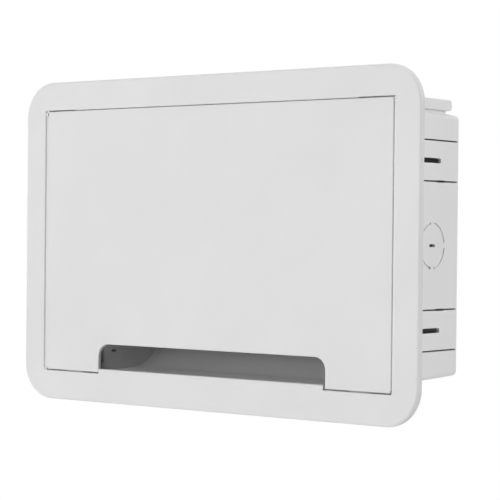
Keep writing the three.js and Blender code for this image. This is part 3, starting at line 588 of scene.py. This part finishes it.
def make_tub():
    tub = drafted_box(0, TUB_Y0, TUB_Y1, 4.0, 5)
    join(tub, soften(prism("y", rrect(-SKIRT_X, SKIRT_X, -SKIRT_Z, SKIRT_Z, 4, 6), TUB_Y0, TUB_Y0 + 2.6), lambda c: near(c.y, TUB_Y0 + 2.6), 0.4, 3))
    for x, z in SCREWS:
        join(tub, rod("y", 4, TUB_Y0 + 1, 22, x, z, 36))
    for sx in (1, -1):
        head = prism("x", rrect(TUB_Y0 + 1, 74.5, 104.9, 113.4, [0, 3, 3, 0], 8), min(sx * 166, sx * TUB_X), max(sx * 166, sx * TUB_X))
        soften(head, lambda c: True, 0.7, 3, 60)
        join(tub, head)
        join(tub, box(sx * 168.2, sx * 178.8, TUB_Y0 + 1, 68.5, 100.8, 105.4))
        join(tub, soften(box(sx * CLAMP_X - 4.5, sx * CLAMP_X + 4.5, 73, 77, 100.9, 113.4), lambda c: c.z > 113, 1.0, 3))
    cut(tub, drafted_box(WALL, TUB_Y0 - 12, REAR, 3.0, 4))
    for x, z, y in BOSSES:
        join(tub, rod("y", 4, y, REAR + 0.5, x, z, 32))
    # Cable trough: a belly below the tub, a cheek at each end, and the corner behind it rounded off.
    def bend(r, a0, a1, n):
        return [(COVE_Y + r * math.cos(math.radians(a0 + (a1 - a0) * i / n)), COVE_Z + r * math.sin(math.radians(a0 + (a1 - a0) * i / n))) for i in range(n + 1)]

    outer_r, end_x = COVE_R + TROUGH_WALL, TROUGH_X + TROUGH_WALL
    cheek_y = COVE_Y + math.sqrt(COVE_R**2 - (CHEEK_TOP - COVE_Z) ** 2)
    cheek_a = math.degrees(math.atan2(CHEEK_TOP - COVE_Z, cheek_y - COVE_Y))
    belly = prism("x", [(TUB_Y0, TROUGH_Z - TROUGH_WALL), *bend(outer_r, -90, 0, 40), (TUB_Y0, COVE_Z)], -end_x, end_x)
    join(tub, belly)
    cut(tub, prism("x", [*bend(outer_r, -90, 0, 40), (95, COVE_Z), (95, -120), (COVE_Y, -120)], -TROUGH_X, TROUGH_X))
    cut(tub, prism("x", [(TUB_Y0 - 1, TROUGH_Z), *bend(COVE_R, -90, 0, 40), (TUB_Y0 - 1, COVE_Z)], -TROUGH_X, TROUGH_X))
    cut(tub, prism("x", [(TUB_Y0 - 1, CHEEK_TOP), *bend(COVE_R, cheek_a, 0, 14), (TUB_Y0 - 1, COVE_Z)], -end_x - 0.6, end_x + 0.6))
    plate = [(TUB_Y0 + 1, CHEEK_TOP), (TUB_Y0 + 1, -103.5), (69, -102.3), (81, -101.8), (85.3, -97), (85.3, COVE_Z - 0.5), *bend(COVE_R, -1, cheek_a, 14)]
    for sx in (1, -1):
        cheek = prism("x", plate, min(sx * TROUGH_X, sx * end_x), max(sx * TROUGH_X, sx * end_x))
        join(tub, soften(cheek, lambda c: near(c.z, CHEEK_TOP), 0.5, 3, 60))
    tools = [rod("y", 1.6, y - 1, REAR - 0.8, x, z, 24) for x, z, y in BOSSES]
    tools += [rod("y", 1.8, TUB_Y0 - 1, 19, x, z, 24) for x, z in SCREWS]
    tools += [prism("z", rrect(-0.6, 0.6, a, b, 0.55, 4), -114, -107) for a, b in ((14, 22.5), (24.5, 33))]
    tools += [prism("x", rrect(15, 22, -94.6, -92.6, 0.95, 5), a, a + 6) for a in (-124, 118)]
    tools += [rod("z", 1.6, -114, -107, x, 12, 24) for x in (-80, 80)]
    for sx in (1, -1):
        tools.append(rod("y", 2.5, TUB_Y0 - 1, 80, sx * CLAMP_X, CLAMP_Z, 28))
        inside, outside = sx * (TUB_X - WALL - 1), sx * (TUB_X + 1)
        for sz in (1, -1):
            for z in (81.4, 49.7):
                tools.append(prism("x", rrect(12, 83, sz * z - 0.6, sz * z + 0.6, 0.55, 3), min(inside, outside), max(inside, outside)))
            tools.append(prism("x", rrect(53, 65, sz * 49.7 - 0.9, sz * 49.7 + 0.9, 0.4, 3), min(inside, outside), max(inside, outside)))
            tools.append(prism("x", rrect(22, 59, sz * 65.6 - 1.95, sz * 65.6 + 1.95, 1.5, 5), min(inside, outside), max(inside, outside)))
        on_side = lambda pts, a, b: prism("x", [(u + 47.5, v) for u, v in pts], min(sx * a, sx * b), max(sx * a, sx * b))
        tools += ring_groove(on_side, 17.2, 1.5, TUB_X - 0.9, TUB_X + 1)
        tools += [on_side(rrect(q - 0.9, q + 0.9, -18.2, -16.2, 0.3, 2), TUB_X - WALL - 1, TUB_X + 1) for q in (-3.1, 3.1)]
        tools.append(on_side(rrect(-4.1, 4.1, -1.1, 1.1, 0.9, 4), TUB_X - WALL - 1, TUB_X + 1))
        for x in (-105, 105) if sx > 0 else (-146, 146):
            zt = TUB_Z - DRAFT * (47.5 - TUB_Y0)
            on_top = lambda pts, a, b: prism("z", [(u + x, v + 47.5) for u, v in pts], min(sx * a, sx * b), max(sx * a, sx * b))
            tools += ring_groove(on_top, 17.2, 1.5, zt - 1.2, zt + 3)
            tools.append(on_top(rrect(-4.1, 4.1, -1.1, 1.1, 0.9, 4), zt - WALL - 2, zt + 3))
        on_rear = lambda pts, a, b: prism("y", [(u + sx * 146, v - 64) for u, v in pts], a, b)
        tools += ring_groove(on_rear, 17.2, 1.5, TUB_Y1 - 0.9, TUB_Y1 + 1)
        tools.append(on_rear(rrect(-4.1, 4.1, -1.1, 1.1, 0.9, 4), REAR - 1, TUB_Y1 + 1))
    cut(tub, *tools)
    return tub


BOSSES = [(-160, 12, 73), (-26, 12, 73), (-160, 84, 73), (-26, 84, 73), (20, 4, 78), (100, 4, 78), (104, 60, 78), (-121, -52, 76), (-99, -52, 76)]
piece("back_tub_fine", make_tub(), TUB, "housing", ["back_tub"], bevel=0, angle=28)


# ------------------------------------------------------------------ screws
def cross_outline(a, w):
    return [(-a, -w), (-w, -w), (-w, -a), (w, -a), (w, -w), (a, -w), (a, w), (w, w), (w, a), (-w, a), (-w, w), (-a, w)]


def pan_screw(shank, length, head, height, pitch, n=32):
    """Points along +Y with the underside of its head on y = 0."""
    p = [(0, -height), (head * 0.42, -height * 0.985), (head * 0.72, -height * 0.9), (head * 0.9, -height * 0.68), (head, -height * 0.36), (head, -0.12), (head - 0.12, 0), (shank, 0), (shank, 0.5)]
    y, root = 0.5, shank - 0.32 * pitch * 0.8
    while y + pitch < length - shank:
        p += [(root, y + pitch * 0.38), (root, y + pitch * 0.52), (shank, y + pitch * 0.92), (shank, y + pitch)]
        y += pitch
    p += [(shank * 0.86, length - shank * 0.8), (shank * 0.3, length - 0.1), (0, length)]
    screw = lathe("y", p, 0, 0, n)
    recess = prism("y", cross_outline(head * 0.56, head * 0.14), -height - 1, -height * 0.38)
    return cut(screw, recess)


def place_screws(prefix, spots, shape, material=STEEL):
    for i, (x, y, z) in enumerate(spots):
        o = shift(spin(copy(shape), "Y", 17 + 38 * i), x, y, z)
        name = prefix + ("_%d" % (i + 1) if len(spots) > 1 or prefix != "spool_screw" else "")
        piece(name + "_fine", o, material, "housing", [name], bevel=0, angle=40)


place_screws("frame_screw", [(x, 2.8, z) for x, z in SCREWS], pan_screw(1.5, 13, 3.2, 1.5, 1.1))
small = pan_screw(1.25, 7, 2.7, 1.7, 0.9)
TRAY_Y0, TRAY_Y1 = 59.8, 72.6
place_screws("tray_screw", [(x, TRAY_Y1 - 2.2, z) for x, z, _ in BOSSES[:4]], small)
place_screws("bracket_screw", [(20, 75.5, 4), (100, 75.5, 4)], small)
place_screws("spool_screw", [(104, 75.5, 60)], small)
place_screws("cable_clamp_screw", [(-121, 73.1, -52), (-99, 73.1, -52)], small)

# ------------------------------------------------------------------ swing clamps
for side in ("left", "right"):
    s = 1 if side == "right" else -1
    screw = shift(spin(pan_screw(2.0, 77, 3.2, 1.5, 1.0, 26), "Y", 24 * s), s * CLAMP_X, 2.8, CLAMP_Z)
    piece("clamp_screw_%s_fine" % side, screw, STEEL, "housing", ["clamp_screw_" + side], bevel=0, angle=40)
    nut = soften(box(-3.5, 3.5, 0, 3, -3.5, 3.5), lambda c: True, 0.35, 3, 60)
    crown = lathe("y", [(0, -0.5), (4.35, -0.5), (4.35, 0.15), (4.9, 0.6), (4.9, 2.4), (4.35, 2.85), (4.35, 3.5), (0, 3.5)], 0, 0, 48)
    mod = nut.modifiers.new("b", "BOOLEAN")
    mod.solver, mod.operation, mod.object = "MANIFOLD", "INTERSECT", crown
    _apply(nut)
    bpy.data.objects.remove(crown)
    cut(nut, rod("y", 2.3, -1, 4, 0, 0, 32))
    piece("clamp_nut_%s_fine" % side, shift(nut, s * CLAMP_X, CLAMP_NUT_Y, CLAMP_Z), STEEL, "clamp_nut_" + side, ["clamp_nut_" + side], bevel=0.12, segments=2)
    wing = soften(prism("y", rrect(-24, 0, -3.8, 3.8, [3, 0, 0, 3], 8), 0, 6), lambda c: c.x < -3, 0.5, 3, 60)
    join(wing, soften(rod("y", 4.1, 0, 6, 0, 0, 44), lambda c: True, 0.4, 2, 60))
    join(wing, soften(box(-23, -19, -1.6, 0.5, -3, 3), lambda c: c.y < -1, 0.4, 3, 60))
    # Two pockets that core out the arm, with a web between them.
    cut(wing, prism("y", rrect(-17.6, -11.8, -2.3, 2.3, 0.8, 4), 1.8, 7), prism("y", rrect(-10.6, -5.4, -2.3, 2.3, 0.8, 4), 1.8, 7))
    cut(wing, rod("y", 2.35, -3, 8, 0, 0, 32))
    if s < 0:
        spin(wing, "Y", 180)
    piece("clamp_wing_%s_fine" % side, shift(wing, s * CLAMP_X, CLAMP_NUT_Y - 6.4, CLAMP_Z), TRIM, "clamp_wing_" + side, ["clamp_wing_" + side], bevel=0.15, segments=2)

# ------------------------------------------------------------------ splice tray
LID_Y, LID_Z = 58.7, 97.3


def make_tray():
    x0, x1, z0, z1, w = -168, -18, 2, 95, 1.6
    pan = soften(prism("y", rrect(x0, x1, z0, z1, 8, 14), TRAY_Y0, TRAY_Y1), lambda c: near(c.y, TRAY_Y1), 1.0, 4, 60)
    cut(pan, soften(prism("y", rrect(x0 + w, x1 - w, z0 + w, z1 - w, 6.4, 12), TRAY_Y0 - 1, TRAY_Y1 - 2), lambda c: near(c.y, TRAY_Y1 - 2), 0.9, 4, 60))
    for a, b in ((-150, -146.4), (-39.6, -36)):
        ear = box(a, b, LID_Y - 2.2, TRAY_Y0 + 3, 93.6, LID_Z + 2.2)
        soften(ear, lambda c: c.z > 99 and c.y < 60, 1.9, 7, 60)
        join(pan, ear)
    for x in (-118, -68):
        join(pan, prism("y", rrect(x - 4, x + 4, 2.5, 11, [0, 0, 2.4, 2.4], 6), TRAY_Y0 + 0.2, TRAY_Y0 + 1.6))
    # Low webs on the floor that keep the slack off the splices, and tie slots by the two entries.
    floor_y = TRAY_Y1 - 2
    join(pan, box(-131, -55, floor_y - 1.6, floor_y + 0.2, 24.2, 25.4))
    for x, z, y in BOSSES[:4]:
        join(pan, lathe("y", [(0, floor_y + 0.3), (4.6, floor_y + 0.3), (4.6, floor_y - 0.05), (0, floor_y - 0.05)], x, z, 36))
        cut(pan, rod("y", 1.7, TRAY_Y1 - 4, TRAY_Y1 + 2, x, z, 28))
    for x in (-150, -36):
        cut(pan, prism("y", rrect(x - 4, x + 4, z0 - 4, z0 + w + 0.5, 0.4, 2), TRAY_Y0 - 1, TRAY_Y1 - 4))
        cut(pan, *[prism("y", rrect(x + d - 0.8, x + d + 0.8, 7, 11.6, 0.7, 4), floor_y - 1, TRAY_Y1 + 1) for d in (-3, 3)])
    cut(pan, rod("x", 1.25, -151, -35, LID_Y, LID_Z, 28))
    return pan


piece("splice_tray_fine", make_tray(), GREY, "housing", ["splice_tray"], bevel=0.22, segments=2)


def make_guide(cx, cz):
    """Two half-round walls on a thin base ring."""
    n = 72
    ring = rod("y", 21, 0, 10, 0, 0, n)
    cut(ring, rod("y", 19.4, -1, 11, 0, 0, n))
    cut(ring, box(-3, 3, -1, 8.8, -22, 22))
    return shift(ring, cx, TRAY_Y1 - 12.3, cz)


for i, x in enumerate((-140, -46)):
    piece("fiber_guide_%d_fine" % (i + 1), make_guide(x, 50), GREY, "housing", ["fiber_guide_%d" % (i + 1)], bevel=0.3, segments=3)


def make_comb(cx, cz):
    c = soften(box(-12, 12, 0, 8, -17, 17), lambda q: True, 0.5, 3, 60)
    for k in range(6):
        x = -9.5 + k * 3.8
        slot = prism("z", [(x - 1.25, -1), (x + 1.25, -1)] + arc(x, 4.35, 1.25, 0, 180, 12), -18, 18)
        # A small mouth that guides the sleeve in.
        mouth = prism("z", [(x - 1.75, -0.5), (x + 1.75, -0.5), (x + 1.2, 1.1), (x - 1.2, 1.1)], -18, 18)
        cut(c, slot)
        cut(c, mouth)
    cut(c, soften(box(-14, 14, -1, 5.6, -9, 9), lambda q: True, 0.4, 2, 60))
    return shift(c, cx, TRAY_Y1 - 10.3, cz)


for i, x in enumerate((-106.2, -79.8)):
    piece("splice_holder_%d_fine" % (i + 1), make_comb(x, 46), GREY, "housing", ["splice_holder_%d" % (i + 1)], bevel=0.12, segments=2)


def make_lid():
    lid = prism("y", rrect(-165, -21, 51, 96.4, [5, 5, 1, 1], 8), LID_Y - 0.6, LID_Y + 0.6)
    lip = prism("y", rrect(-160, -26, 51, 52.4, 0.5, 3), LID_Y - 1.8, LID_Y)
    join(lid, lip)
    for a, b in ((-145.6, -130), (-56, -40.4)):
        join(lid, rod("x", 1.6, a, b, LID_Y, LID_Z, 36))
    for a, b in ((-149.6, -145), (-41, -36.4)):
        join(lid, rod("x", 0.9, a, b, LID_Y, LID_Z, 28))
    cut(lid, box(-151, -146.1, LID_Y - 2, LID_Y + 2, 92.6, 97), box(-39.9, -35, LID_Y - 2, LID_Y + 2, 92.6, 97))
    # Stiffening beads on the inner face, and a thumb notch in the lip.
    for x in (-132, -93, -54):
        join(lid, prism("y", rrect(x - 0.8, x + 0.8, 56, 91, 0.75, 4), LID_Y - 1.0, LID_Y))
    cut(lid, rod("y", 7.5, LID_Y - 3, LID_Y - 0.65, -93, 47.5, 48))
    return lid


piece("tray_cover_fine", make_lid(), CLEAR, "tray_cover", ["tray_cover"], bevel=0.15, segments=2)

# ------------------------------------------------------------------ adapter bracket
SHELF_Z, ADAPTER_Y, ADAPTER_X = -14.0, 57.0, (30, 50, 70, 90)


def make_bracket():
    # One bent sheet: shelf, bend and back, drawn in Y and Z.
    y0, y1, t, r = 44.0, 77.7, 2.0, 3.2
    pts = [(y0, SHELF_Z + t), (y0, SHELF_Z)] + arc(y1 - r, SHELF_Z + r, r, -90, 0, 10) + [(y1, 12), (y1 - t, 12)]
    pts += list(reversed(arc(y1 - r, SHELF_Z + r, r - t, -90, 0, 8)))
    b = soften(prism("x", pts, 10, 110), lambda q: True, 0.3, 3, 60)
    lip_cut = [box(x - 5, x + 5, ADAPTER_Y - 6.8, ADAPTER_Y + 6.8, SHELF_Z - 1, SHELF_Z + 3) for x in ADAPTER_X]
    holes = [rod("y", 1.7, 75, 79, x, 4, 28) for x in (20, 100)]
    cut(b, *lip_cut, *holes)
    for x in (10, 108):
        join(b, prism("x", [(50, SHELF_Z + 1), (77, SHELF_Z + 1), (77, 10), (74.5, 10), (50, SHELF_Z + 2.6)], x, x + 2))
    # Rounded front corners.
    for x in (10, 110):
        s = 1 if x > 60 else -1
        corner = prism("z", [(x + s, y0 - 1), (x + s, y0 + 3)] + [(x - s * 3 + s * 3 * math.cos(a), y0 + 3 - 3 * math.sin(a)) for a in [math.radians(k * 9) for k in range(11)]] + [(x - s * 3, y0 - 1)], SHELF_Z - 1, SHELF_Z + 3)
        cut(b, corner)
    return b


piece("adapter_bracket_fine", make_bracket(), COAT, "housing", ["adapter_bracket"], bevel=0, angle=28)


def make_adapter():
    L = 13.6
    a = prism("z", rrect(-4.7, 4.7, -6.5, 6.5, 0.7, 5), -L, L)
    flange = soften(prism("z", rrect(-4.7, 4.7, -11, 11, 0.8, 5), 2.3, 4.3), lambda q: True, 0.25, 2, 60)
    join(a, flange)
    for e in (1, -1):
        lo, hi = (2.5, L + 1) if e > 0 else (-L - 1, -2.5)
        cut(a, prism("z", rrect(-3.6, 3.6, -4.6, 4.6, 0.35, 3), lo, hi))
        lo, hi = (6, L + 1) if e > 0 else (-L - 1, -6)
        cut(a, box(-1, 1, 4, 7, lo, hi))
        # Lead-in chamfer round the mouth of the socket.
        z = e * L
        bm = bmesh.new()
        ring0 = [bm.verts.new((x, y, z - e * 0.7)) for x, y in rrect(-3.6, 3.6, -4.6, 4.6, 0.35, 3)]
        ring1 = [bm.verts.new((x, y, z + e * 0.1)) for x, y in rrect(-4.15, 4.15, -5.3, 5.3, 0.35, 3)]
        bm.faces.new(ring0)
        bm.faces.new(list(reversed(ring1)))
        m = len(ring0)
        for k in range(m):
            bm.faces.new((ring0[k], ring0[(k + 1) % m], ring1[(k + 1) % m], ring1[k]))
        cut(a, _made(bm))
        # Shallow panels on the outside.
        for sx in (1, -1):
            cut(a, prism("x", rrect(-4.6, 4.6, min(e * 6.2, e * 12.4), max(e * 6.2, e * 12.4), 0.8, 4), min(sx * 4.35, sx * 5.5), max(sx * 4.35, sx * 5.5)))
        # Ferrule sleeve with its bore.
        tube = rod("z", 1.5, min(0, e * (L - 4)), max(0, e * (L - 4)), 0, 0, 32)
        join(a, tube)
    cut(a, rod("z", 0.85, -L, L, 0, 0, 24))
    for sy in (1, -1):
        cut(a, rod("z", 1.15, 1, 6, 0, sy * 8.9, 24))
    return a


def make_clip():
    """Spring strip on the narrow face of the adapter, with a tongue bent out to grip the shelf from below."""
    outline = [(0.02, -3.0), (0.32, -3.0), (0.32, -4.2), (1.7, -3.1), (1.9, -3.3), (0.36, -8.6), (0.32, -11.4), (0.02, -11.4)]
    return outline


adapter, clip_outline = make_adapter(), make_clip()


def make_cap():
    plate = soften(prism("z", rrect(-5.4, 5.4, -7.2, 7.2, 1.6, 8), 0.3, 2.7), lambda q: True, 0.45, 3, 60)
    plug = soften(prism("z", rrect(-3.2, 3.2, -4.2, 4.2, 0.6, 4), -8, 0.5), lambda q: q.z < -7, 0.5, 3, 60)
    grip = soften(prism("x", [(-1, 2.5), (1, 2.5), (1, 7.2), (0.6, 8), (-0.6, 8), (-1, 7.2)], -3.6, 3.6), lambda q: q.z > 3, 0.25, 2, 60)
    join(plate, plug)
    join(plate, grip)
    for z in (4.0, 5.2, 6.4):
        join(plate, box(-3.0, 3.0, -1.18, 1.18, z - 0.25, z + 0.25))
    return cut(plate, rod("z", 2.0, -9, -0.6, 0, 0, 32))


cap = make_cap()
for i, x in enumerate(ADAPTER_X):
    k = i + 1
    piece("sc_adapter_%d_fine" % k, shift(copy(adapter), x, ADAPTER_Y, SHELF_Z), GREEN, "housing", ["sc_adapter_%d" % k], bevel=0.12, segments=2)
    strips = []
    for sy in (1, -1):
        strip = prism("x", [(sy * (6.5 + u), v) for u, v in clip_outline], -2.2, 2.2)
        strips.append(shift(strip, x, ADAPTER_Y, SHELF_Z))
    clip = join(strips[0], strips[1])
    piece("adapter_clip_%d" % k, clip, SPRING, "housing", bevel=0.05, segments=2)
    piece("dust_cap_top_%d_fine" % k, shift(copy(cap), x, ADAPTER_Y, SHELF_Z + 13.6), CAP, "dust_cap_top_%d" % k, ["dust_cap_top_%d" % k], bevel=0.1, segments=2)
    piece("dust_cap_bottom_%d_fine" % k, shift(spin(copy(cap), "X", 180), x, ADAPTER_Y, SHELF_Z - 13.6), CAP, "dust_cap_bottom_%d" % k, ["dust_cap_bottom_%d" % k], bevel=0.1, segments=2)


# ------------------------------------------------------------------ slack spool and cable clamp
def make_spool():
    x, z, n = 104, 60, 96
    ring = rod("y", 27, 68, 84.4, x, z, n)
    cut(ring, rod("y", 25, 67, 86, x, z, n))
    web = rod("y", 25.5, 75.7, 77.7, x, z, n)
    cut(web, rod("y", 1.7, 74, 79, x, z, 28))
    join(ring, web)
    # Collar round the screw and radial webs on the disc.
    for a in range(4):
        arm = box(5.2, 25.4, 74.6, 75.9, -0.7, 0.7)
        spin(arm, "Y", 45 + 90 * a)
        join(ring, shift(arm, x, 0, z))
    collar = cut(rod("y", 6.2, 74.6, 75.9, x, z, 40), rod("y", 4.6, 74, 77, x, z, 40))
    join(ring, collar)
    for a in range(4):
        fin = prism("y", [(25.6, -6), (33.5, -6)] + arc(33.5, -2.5, 3.5, -90, 0, 7) + arc(33.5, 2.5, 3.5, 0, 90, 7) + [(25.6, 6)], 68, 69.8)
        spin(fin, "Y", 90 * a)
        join(ring, shift(fin, x, 0, z))
    return ring


piece("slack_spool_fine", make_spool(), GREY, "housing", ["slack_spool"], bevel=0.3, segments=3)


def make_saddle():
    q = math.degrees(math.asin(2.4 / 8.6))
    pts = [(-16, 0)] + arc(0, 0, 6.2, 180, 0, 26) + [(16, 0), (16, 2.4)] + arc(0, 0, 8.6, q, 180 - q, 26) + [(-16, 2.4)]
    bm = bmesh.new()
    ends = [[bm.verts.new((u, 75.7 - v, w)) for u, v in pts] for w in (-5, 5)]
    bm.faces.new(ends[0])
    bm.faces.new(list(reversed(ends[1])))
    for k in range(len(pts)):
        j = (k + 1) % len(pts)
        bm.faces.new((ends[0][j], ends[0][k], ends[1][k], ends[1][j]))
    o = _made(bm)
    # Rounded feet, and screw holes.
    for sx in (1, -1):
        for sz in (1, -1):
            corner = prism("y", [(sx * 17, sz * 6), (sx * 17, sz * 2)] + [(sx * (13 + 3 * math.cos(math.radians(a))), sz * (2 + 3 * math.sin(math.radians(a)))) for a in range(0, 91, 9)] + [(sx * 13, sz * 6)], 72, 77)
            cut(o, corner)
        cut(o, rod("y", 1.7, 70, 77, sx * 11, 0, 28))
    return shift(o, -110, 0, -52)


piece("cable_clamp_fine", make_saddle(), GREY, "housing", ["cable_clamp"], bevel=0.35, segments=3)

# Any CAD solid still showing gets its own finish.
FINISH = {"white_trim": TRIM, "white_tub": TUB, "tray_grey": GREY, "clear_cover": CLEAR, "adapter_green": GREEN, "cap_white": CAP, "bracket_steel": COAT, "screw_steel": STEEL, "magnet_nickel": NICKEL}
for node, obj in frame["nodes"].items():
    if obj.hide_render:
        continue
    slot_name = next(q["material_slot"] for q in frame["record"]["subparts"] if q["node"] == node)
    obj.data.materials.clear()
    obj.data.materials.append(FINISH[slot_name])


# ------------------------------------------------------------------ floor
bm = bmesh.new()
bmesh.ops.create_grid(bm, x_segments=1, y_segments=1, size=2.4)
me = bpy.data.meshes.new("floor")
bm.to_mesh(me)
bm.free()
floor = bpy.data.objects.new("floor", me)
floor.location = (0, 0.2, -0.95)
scene.collection.objects.link(floor)
FLOOR = plastic("pale_floor", (0.86, 0.86, 0.86), rough=(0.6, 0.7), grain=200.0)
floor.data.materials.append(FLOOR)

for o in list(work.objects):
    bpy.data.objects.remove(o)
bpy.data.collections.remove(work)
